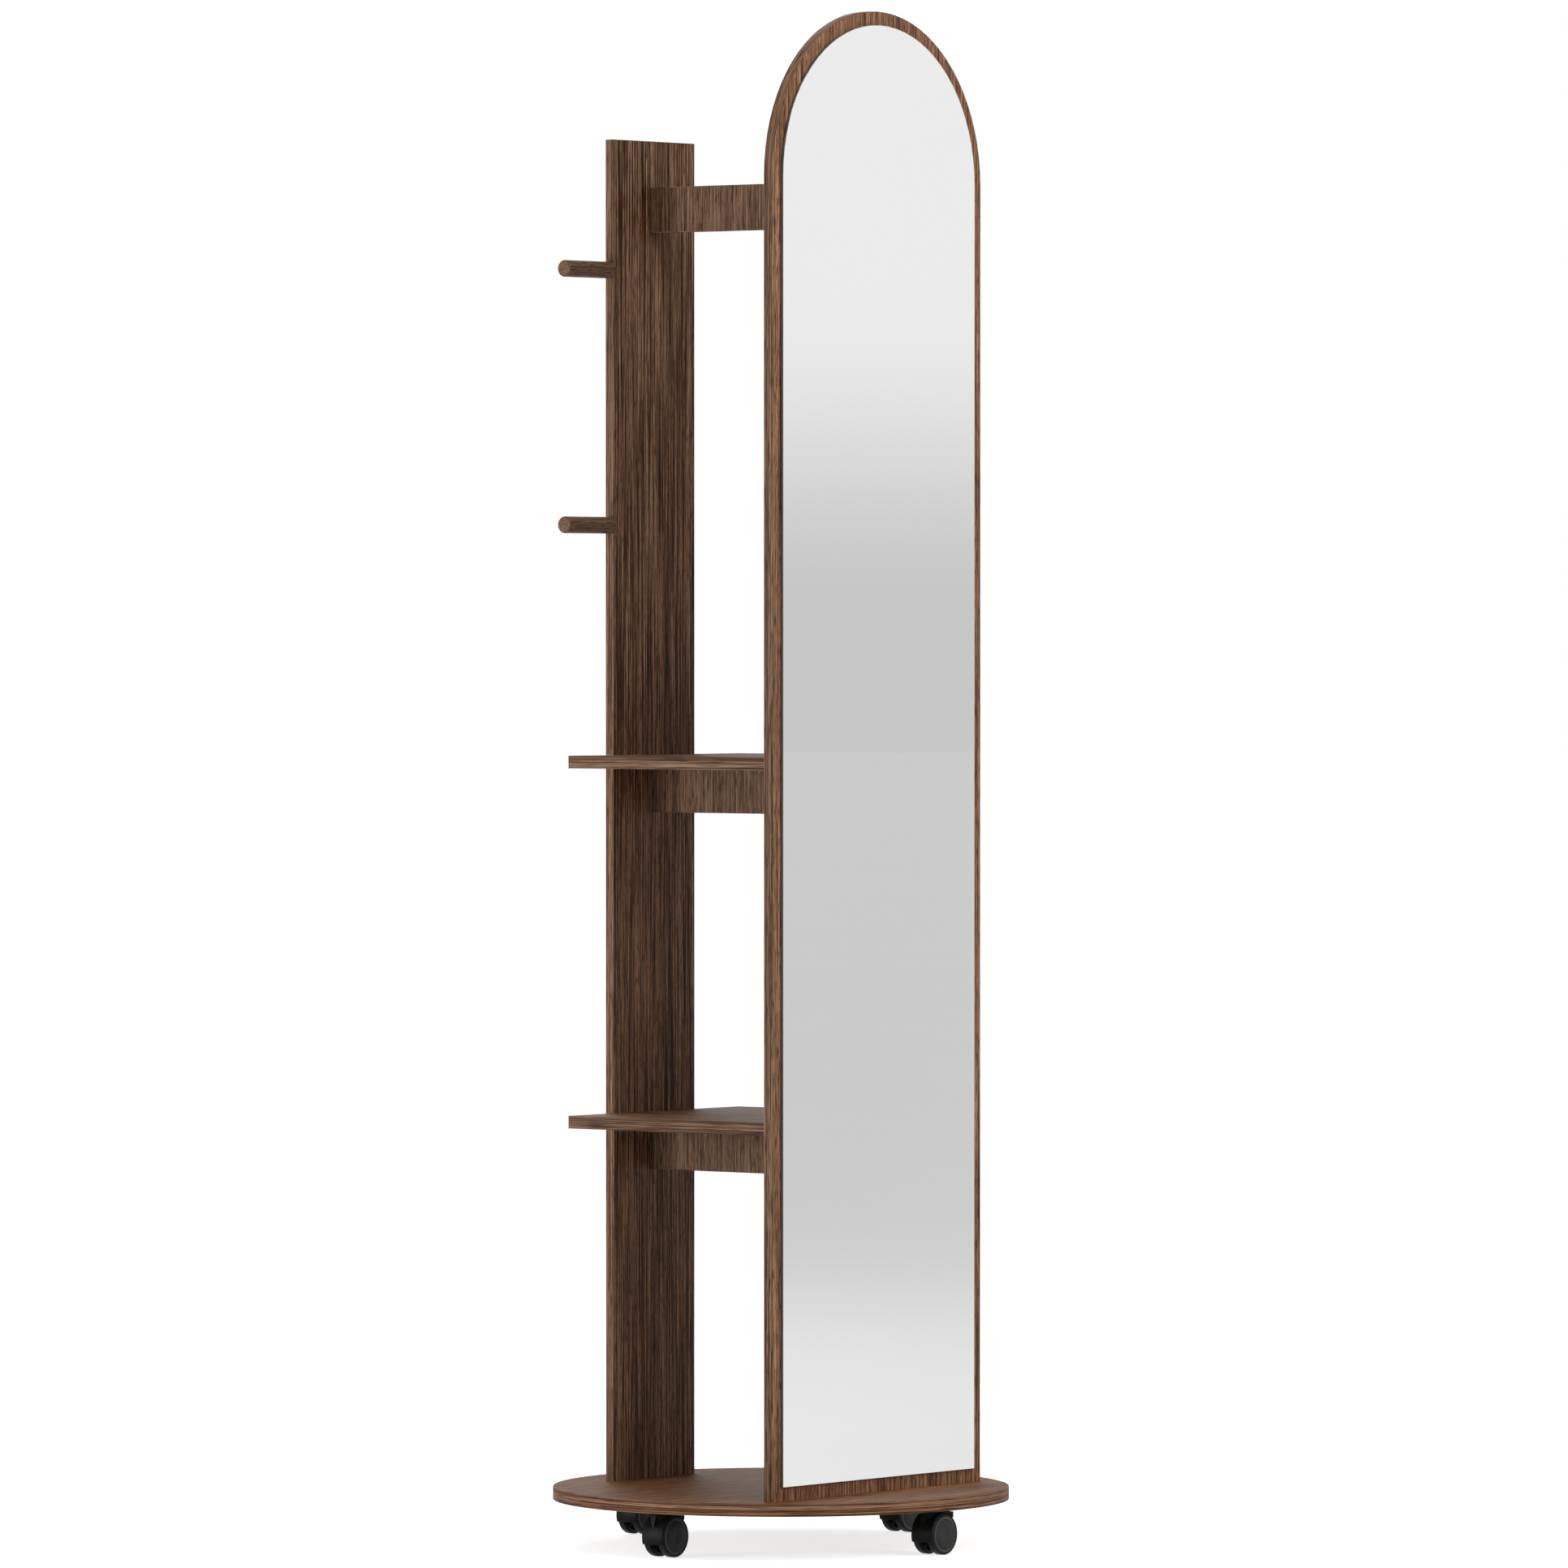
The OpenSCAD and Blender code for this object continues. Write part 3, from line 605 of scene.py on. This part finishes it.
pane = cad_copy("mirror_glass")
front_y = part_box("mirror_glass")[0].y
rim = [e for e in sharp_edges(pane) if all(abs(v.co.y - front_y) < same_plane for v in e.verts)]
round_edges(pane, ground_width, rim, segments=1)
for face in pane.faces:
    # Faces other than the flat front get the edge finish with the painted reflection.
    face.material_index = 0 if face.normal.y < straight_ahead else 1
glass = finish_piece("glass_pane", pane, [mirror_face, glass_edge_painted_reflection], "mirror_glass", smooth_angle=20.0)
print("glass faces", len(glass.data.polygons), "ground edges", len(rim))

# %% [markdown]
# ## Turned pieces
#
# The pegs, wheels and treads are round. They could start from cylinders, but every step in their
# outline would need another one. It is easier to draw half of each one's section as a line of points
# and to spin it once round its axis. A point is given as its distance from the axis and its place along
# it. The spin leaves doubled points on the axis, which are merged, and its faces are then turned
# outwards.

# %% Spin a half section
same_circle = 2e-5


def turned(points, steps=96):
    """Spins a line of (radius, place) points round the Y axis."""
    shape = bmesh.new()
    line = [shape.verts.new((radius, place, 0.0)) for radius, place in points]
    for first, second in zip(line, line[1:]):
        shape.edges.new((first, second))
    bmesh.ops.spin(
        shape,
        geom=shape.verts[:] + shape.edges[:],
        cent=(0, 0, 0),
        axis=(0, 1, 0),
        angle=2 * math.pi,
        steps=steps,
        use_merge=True,
        use_normal_flip=False,
        use_duplicate=False,
    )
    bmesh.ops.remove_doubles(shape, verts=shape.verts, dist=1e-6)
    bmesh.ops.recalc_face_normals(shape, faces=shape.faces)
    return shape


def on_circle(point, radius, place):
    off_axis = math.hypot(point.x, point.z)
    return abs(point.y - place) < same_circle and abs(off_axis - radius) < same_circle


def ring_edges(shape, radius, place):
    """The edges of a turned piece that lie on one circle."""
    return [e for e in shape.edges if all(on_circle(v.co, radius, place) for v in e.verts)]


trial = turned([(0.0, 0.0), (0.01, 0.0), (0.01, 0.02), (0.0, 0.02)])
print("a trial rod has", len(trial.faces), "faces and", len(ring_edges(trial, 0.01, 0.02)), "end edges")
trial.free()

# %% [markdown]
# ## Pegs
#
# Each peg is a turned wooden rod with a rounded free end. It stands on the plank's left edge, so it is
# spun round Y, turned to point along -X and moved to its place. Its root is cut a hair back all round,
# which draws the thin dark line where it meets the plank.

# %% Make both pegs
peg_root = 0.0006
peg_shoulder = 0.002


def peg(node):
    low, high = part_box(node)
    radius = (high.z - low.z) / 2
    length = high.x - low.x
    points = [
        (0.0, 0.0),
        (radius - peg_root, 0.0),
        (radius - peg_root, peg_root),
        (radius, peg_root),
        (radius, length),
        (0.0, length),
    ]
    shape = turned(points)
    round_edges(shape, peg_shoulder, ring_edges(shape, radius, length), segments=6)
    place = Matrix.Translation((high.x, (low.y + high.y) / 2, (low.z + high.z) / 2))
    aim = Matrix.Rotation(math.pi / 2, 4, "Z")
    bmesh.ops.transform(shape, matrix=place @ aim, verts=shape.verts)
    return finish_piece(node + "_turned", shape, [peg_wood], node, smooth_angle=40.0)


for name in ("lower_peg", "upper_peg"):
    print(name, len(peg(name).data.polygons), "faces")

# %% [markdown]
# ## Caster hoods
#
# A hood is one plastic moulding: a cover bent over both wheels, a web between them, the swivel's collar
# and a tapered rib in front. The CAD solid has that shape with sharp corners. A subdivision surface
# would soften its flat faces too, and a moulding only has small radii at its corners, so a merged copy
# gets one wherever two faces meet at an angle. The pressed plates get a smaller one.

# %% Round the hoods
casters = ("front", "rear", "left", "right")
hood_corner = 0.0005
plate_corner = 0.0003


def moulded_copy(node, name, finish, size):
    shape = cad_copy(node)
    before = len(shape.faces)
    round_edges(shape, size, sharp_edges(shape, 40.0), segments=2)
    piece = finish_piece(name, shape, [finish], node)
    print(name, before, "faces, then", len(piece.data.polygons))


for caster in casters:
    moulded_copy(caster + "_hood", caster + "_hood_moulded", hood_plastic, hood_corner)
moulded_copy("caster_plates", "caster_plates_pressed", hood_plastic, plate_corner)

# %% [markdown]
# ## Wheels
#
# A wheel's outer face is closed, with a polished ring near its rim. Its inner side is open, with six
# ribs between the hub and the rim, as such wheels are cored out to keep the plastic even. The body is a
# turned piece, and the ribs are stretched cubes placed round the hub. The pockets between them could be
# cut out of a solid disc instead, but that takes six Booleans. The faces of the ring are found by their
# distance from the axle and get the second material, whose lighter colour is a painted highlight.

# %% Measures of a wheel, read from the model
low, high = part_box("front_wheel_a")
wheel_width = high.y - low.y
core_radius = (high.x - low.x) / 2
low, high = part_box("front_tread_a")
tread_radius = (high.x - low.x) / 2
tread_width = high.y - low.y
low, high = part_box("front_axle")
axle_radius = (high.z - low.z) / 2
wheel_sizes = (wheel_width, core_radius, tread_radius, tread_width, axle_radius)
print("wheel mm", [round(1000 * size, 2) for size in wheel_sizes])

# %% Section of a wheel core
hub_radius = axle_radius + 0.0032
bore_radius = axle_radius + 0.0001
well_radius = core_radius - 0.002
lip_radius = core_radius - 0.0016
lip_slope, lip_flat = 0.0012, 0.0009
dimple_inner, dimple_outer = 0.0030, 0.0034
face_depth, dimple_depth, lip_depth = 0.0003, 0.0004, 0.00045
well_floor, bore_floor = 0.0018, 0.0026

core_points = [
    (0.0, dimple_depth),
    (dimple_inner, dimple_depth),
    (dimple_outer, face_depth),
    (lip_radius - lip_slope, face_depth),
    (lip_radius - lip_flat, lip_depth),
    (lip_radius, lip_depth),
    (lip_radius, 0.0),
    (core_radius, 0.0),
    (core_radius, wheel_width),
    (well_radius, wheel_width),
    (well_radius, well_floor),
    (hub_radius, well_floor),
    (hub_radius, wheel_width),
    (bore_radius, wheel_width),
    (bore_radius, bore_floor),
    (0.0, bore_floor),
]
core_circles = (
    (lip_radius, 0.0),
    (core_radius, 0.0),
    (core_radius, wheel_width),
    (hub_radius, wheel_width),
)
print("section points", len(core_points), "circles to round", len(core_circles))

# %% Wheel core with its ribs
core_corner = 0.00025
rib_count = 6
rib_thickness = 0.0014
rib_overlap = 0.0006
rib_shortfall = 0.003
rib_offset = 0.0005
lip_near, lip_far = lip_radius - 0.0013, lip_radius + 0.0002
lip_deepest = 0.0006


def add_rib(shape, angle):
    rib = bmesh.ops.create_cube(shape, size=1.0)["verts"]
    length = well_radius - hub_radius + rib_overlap
    bmesh.ops.scale(shape, vec=(length, wheel_width - rib_shortfall, rib_thickness), verts=rib)
    middle = ((well_radius + hub_radius) / 2, wheel_width / 2 - rib_offset, 0.0)
    bmesh.ops.translate(shape, vec=middle, verts=rib)
    bmesh.ops.rotate(shape, cent=(0, 0, 0), matrix=Matrix.Rotation(angle, 3, "Y"), verts=rib)


def is_lip(face):
    middle = face.calc_center_median()
    return middle.y < lip_deepest and lip_near < math.hypot(middle.x, middle.z) < lip_far


def wheel_core_shape():
    shape = turned(core_points)
    for radius, place in core_circles:
        round_edges(shape, core_corner, ring_edges(shape, radius, place), segments=2)
    for turn in range(rib_count):
        add_rib(shape, turn * 2 * math.pi / rib_count)
    for face in shape.faces:
        # The ring's faces get the second material, with the painted highlight.
        face.material_index = 1 if is_lip(face) else 0
    return shape


print("a rib is mm long", round(1000 * (well_radius - hub_radius + rib_overlap), 2))

# %% [markdown]
# ## Treads
#
# The tread is a ring with round shoulders that grips the core's rim. It is turned like the core rather
# than made from a torus, because its middle is flat. Its outer corners get a large rounding, and a fine
# parting line from the mould runs round its middle.

# %% Tread
tread_sink = (wheel_width - tread_width) / 2
tread_shoulder = 0.0011
parting_line = 0.00012
tread_points = [
    (core_radius, tread_sink),
    (tread_radius, tread_sink),
    (tread_radius, wheel_width / 2 - parting_line),
    (tread_radius - parting_line, wheel_width / 2),
    (tread_radius, wheel_width / 2 + parting_line),
    (tread_radius, wheel_width - tread_sink),
    (core_radius, wheel_width - tread_sink),
    (core_radius, tread_sink),
]


def tread_shape():
    shape = turned(tread_points)
    for place in (tread_sink, wheel_width - tread_sink):
        round_edges(shape, tread_shoulder, ring_edges(shape, tread_radius, place), segments=6)
    bmesh.ops.recalc_face_normals(shape, faces=shape.faces)
    return shape


print("the tread lies back mm on each side", round(1000 * tread_sink, 2))

# %% Put wheels and treads on the axles
def on_axle(shape, node, side):
    low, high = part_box(node)
    centre = (low + high) / 2
    outer = centre.y - wheel_width / 2 if side == "a" else centre.y + wheel_width / 2
    if side == "b":
        bmesh.ops.scale(shape, vec=(1, -1, 1), verts=shape.verts)
        bmesh.ops.reverse_faces(shape, faces=shape.faces)
    bmesh.ops.translate(shape, vec=(centre.x, outer, centre.z), verts=shape.verts)
    return shape


for caster in casters:
    for side in "ab":
        wheel = caster + "_wheel_" + side
        tread = caster + "_tread_" + side
        core = on_axle(wheel_core_shape(), wheel, side)
        finish_piece(wheel + "_core", core, [wheel_plastic, lip_plastic_painted_highlight], wheel)
        ring = on_axle(tread_shape(), tread, side)
        finish_piece(tread + "_ring", ring, [tread_rubber], tread, smooth_angle=40.0)

# %% [markdown]
# ## Screws with a cross recess
#
# Five countersunk screws come up through the base, and four hold each caster plate. Their heads show
# from below, so they need the cross that a driver fits. Turning can't make a cross, and a bump would be
# lost in the exported mesh, so one screw is turned, a cross of two tapered bars is cut out of its head
# with a Boolean modifier, and the result is copied to every hole.

# %% Blank of a screw and the cross that is cut out of it
head_rim = 0.0001
head_edge = 0.0002
point_radius = 0.0002
bar_length, bar_width = 1.15, 0.26
bar_depths = (0.0032, 0.003)
bar_taper = 0.55


def screw_blank(head_radius, shank_radius, length):
    cone = head_radius - shank_radius
    points = [
        (0.0, 0.0),
        (head_radius - head_rim, 0.0),
        (head_radius, head_edge),
        (shank_radius, cone),
        (shank_radius, length - 2 * shank_radius),
        (point_radius, length),
        (0.0, length),
    ]
    return turned(points, steps=48)


def cross_bars(head_radius):
    """Two bars at right angles, shorter at the bottom of the recess than at the head's face."""
    cross = bmesh.new()
    for quarter, depth in enumerate(bar_depths):
        bar = bmesh.ops.create_cube(cross, size=1.0)["verts"]
        size = (head_radius * bar_length, depth, head_radius * bar_width)
        bmesh.ops.scale(cross, vec=size, verts=bar)
        for corner in bar:
            if corner.co.y > 0:
                corner.co.x *= bar_taper
        turn = Matrix.Rotation(quarter * math.pi / 2, 3, "Y")
        bmesh.ops.rotate(cross, cent=(0, 0, 0), matrix=turn, verts=bar)
    return cross


print("the cross is mm deep", [1000 * depth / 2 for depth in bar_depths])

# %% Cut the cross out of the blank
def crossed_screw(head_radius, shank_radius, length):
    blank = object_from("screw blank", screw_blank(head_radius, shank_radius, length))
    cutter = object_from("cross", cross_bars(head_radius))
    cut = blank.modifiers.new("cross recess", "BOOLEAN")
    cut.operation = "DIFFERENCE"
    cut.solver = "EXACT"
    cut.object = cutter
    cut.use_self = True
    graph = bpy.context.evaluated_depsgraph_get()
    made = bpy.data.meshes.new_from_object(blank.evaluated_get(graph))
    for item in (blank, cutter):
        bpy.data.objects.remove(item)
    return made


base_low, base_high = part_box("base_screws")
plate_low, plate_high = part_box("caster_screws")
base_screw = crossed_screw(0.0042, 0.002, base_high.z - base_low.z)
plate_screw = crossed_screw(0.0035, 0.00175, plate_high.z - plate_low.z)
print("screw faces", len(base_screw.polygons), len(plate_screw.polygons))

# %% Find the holes
solid_reach = 0.012


def middle_of(points):
    across, deep = [point.x for point in points], [point.y for point in points]
    return (min(across) + max(across)) / 2, (min(deep) + max(deep)) / 2


def solid_centres(node):
    """The x and y of each separate solid of a node, from the corners that lie near one another."""
    groups = []
    for vertex in nodes_of[node].data.vertices:
        point = Vector(vertex.co[:2])
        for group in groups:
            if (group[0] - point).length < solid_reach:
                group.append(point)
                break
        else:
            groups.append([point])
    return [middle_of(group) for group in groups]


base_holes = solid_centres("base_screws")
plate_holes = solid_centres("caster_screws")
print("screws", len(base_holes), len(plate_holes))

# %% Copy the screws to their holes
def screws(node, places, mesh, head_z):
    shape = bmesh.new()
    upright = Matrix.Rotation(math.pi / 2, 3, "X")
    for x, y in places:
        start = len(shape.verts)
        shape.from_mesh(mesh)
        shape.verts.ensure_lookup_table()
        new = shape.verts[start:]
        bmesh.ops.rotate(shape, cent=(0, 0, 0), matrix=upright, verts=new)
        bmesh.ops.translate(shape, vec=(x, y, head_z), verts=new)
    bmesh.ops.dissolve_degenerate(shape, dist=merge_distance, edges=shape.edges)
    piece = finish_piece(node + "_crossed", shape, [steel], node, smooth_angle=30.0)
    print(piece.name, len(piece.data.polygons), "faces")


screws("base_screws", base_holes, base_screw, base_low.z)
screws("caster_screws", plate_holes, plate_screw, plate_low.z)

# %% [markdown]
# ## Studio
#
# A pale floor, a white surround and large soft lamps are what a catalogue picture is taken in. The
# surround is full white for the camera, nearly white for mirrors and plastics, where it darkens a
# little towards the floor, and a plain level for light that falls on the object. The floor adds light
# of its own for the camera, so it reads white and still shows the shadow. In the mirror it is an even
# pale grey instead, because its lit part would be too bright there. More lamps could whiten both, but
# they would bleach the wood.
#
# The strongest lamp and a high one stand in front, for the mirror board and the rear post. Two stand at
# the left and a little behind. They brighten the left edges of the boards, and the post keeps them off
# the near ends of the rails, which gives the rails their soft shade beside it. The last one stands
# behind, for the backs of the boards.

# %% Floor
floor_tones = ((0.79, 0.79, 0.79), (0.81, 0.81, 0.81))
floor_reach = 60.0
floor_drop = 0.0002
camera_glow = 0.75
mirror_glow = 0.5


def kinds_of_ray(tree):
    """Two values of 1 or 0: a ray from the camera, and one from a mirror or through glass."""
    ray = tree.nodes.new("ShaderNodeLightPath")
    mirrored = maths(tree, "MAXIMUM", ray.outputs["Is Glossy Ray"], ray.outputs["Is Transmission Ray"])
    return ray.outputs["Is Camera Ray"], mirrored


def studio_floor():
    made, tree, shader = start_material("studio floor")
    cloud = noise(tree, (0.8, 0.8, 0.8), detail=1.0)
    pale = ramp(tree, cloud.outputs["Fac"], list(zip((noise_low, noise_high), floor_tones)))
    shader.inputs["Roughness"].default_value = 0.9
    shader.inputs["Specular IOR Level"].default_value = 0.1
    from_camera, mirrored = kinds_of_ray(tree)
    mirror_light = maths(tree, "MULTIPLY", mirrored, mirror_glow)
    darker = tree.nodes.new("ShaderNodeVectorMath")
    darker.operation = "SCALE"
    tree.links.new(pale, darker.inputs["Vector"])
    tree.links.new(maths(tree, "SUBTRACT", 1.0, mirror_light), darker.inputs["Scale"])
    tree.links.new(darker.outputs["Vector"], shader.inputs["Base Color"])
    glow = maths(tree, "ADD", maths(tree, "MULTIPLY", from_camera, camera_glow), mirror_light)
    shader.inputs["Emission Color"].default_value = (1.0, 1.0, 1.0, 1.0)
    tree.links.new(glow, shader.inputs["Emission Strength"])
    return made


ground = bmesh.new()
bmesh.ops.create_grid(ground, x_segments=1, y_segments=1, size=floor_reach)
bmesh.ops.translate(ground, vec=(0, 0, -floor_drop), verts=ground.verts)
floor = object_from("floor", ground)
floor.data.materials.append(studio_floor())
floor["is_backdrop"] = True
print("floor faces", len(floor.data.polygons))

# %% Surround
plain_level = 0.35
horizon_level, upper_level = 0.64, 0.94
horizon_height = 0.03

world = bpy.data.worlds.new("studio")
bpy.context.scene.world = world
world.use_nodes = True
sky = world.node_tree
surround = sky.nodes["Background"]
direction = sky.nodes.new("ShaderNodeTexCoord")
split = sky.nodes.new("ShaderNodeSeparateXYZ")
sky.links.new(direction.outputs["Generated"], split.inputs["Vector"])
climb = sky.nodes.new("ShaderNodeMapRange")
climb.interpolation_type = "SMOOTHSTEP"
climb.inputs["From Min"].default_value = 0.0
climb.inputs["From Max"].default_value = horizon_height
climb.inputs["To Min"].default_value = horizon_level
climb.inputs["To Max"].default_value = upper_level
sky.links.new(split.outputs["Z"], climb.inputs["Value"])

from_camera, mirrored = kinds_of_ray(sky)
for_camera = maths(sky, "MULTIPLY", from_camera, 1.0 - plain_level)
for_mirrors = maths(sky, "SUBTRACT", climb.outputs["Result"], plain_level)
level = maths(sky, "ADD", for_camera, plain_level)
level = maths(sky, "ADD", level, maths(sky, "MULTIPLY", mirrored, for_mirrors))
surround.inputs["Color"].default_value = (1.0, 1.0, 1.0, 1.0)
sky.links.new(level, surround.inputs["Strength"])
print("surround", world.name, "with", len(sky.nodes), "nodes")

# %% Lamps
def soft_lamp(name, at, aim, size, power):
    lamp = bpy.data.lights.new(name, "AREA")
    lamp.shape = "RECTANGLE"
    lamp.size, lamp.size_y = size
    lamp.energy = power
    item = bpy.data.objects.new(name, lamp)
    bpy.context.scene.collection.objects.link(item)
    item.location = at
    item.rotation_euler = (Vector(aim) - Vector(at)).to_track_quat("-Z", "Y").to_euler()


soft_lamp("side lamp", at=(-4.2, 1.5, 1.7), aim=(0.0, 0.0, 0.9), size=(2.2, 2.4), power=37.0)
soft_lamp("low side lamp", at=(-3.4, 1.9, 0.6), aim=(0.0, 0.0, 0.3), size=(1.4, 0.8), power=52.0)
soft_lamp("front lamp", at=(0.9, -4.6, 2.2), aim=(0.0, 0.0, 0.9), size=(2.4, 2.4), power=108.0)
soft_lamp("high front lamp", at=(-1.5, -2.6, 4.4), aim=(0.0, 0.0, 1.4), size=(1.6, 1.6), power=62.0)
soft_lamp("back lamp", at=(2.4, 3.6, 3.4), aim=(0.0, 0.0, 1.0), size=(2.0, 2.0), power=60.0)
bpy.context.scene.view_settings.view_transform = "Standard"

# %% [markdown]
# ## Sizes
#
# The dressed object must stay inside the CAD box. The last cell prints how far each side of its box
# lies beyond the CAD box's, in millimetres.

# %% Write the sizes and finish
dressed_box = [list(corner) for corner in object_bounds()]
grown = [abs(b) - abs(a) for c, d in zip(cad_box, dressed_box) for a, b in zip(c, d)]
print("grown by mm", [round(1000 * length, 3) for length in grown])
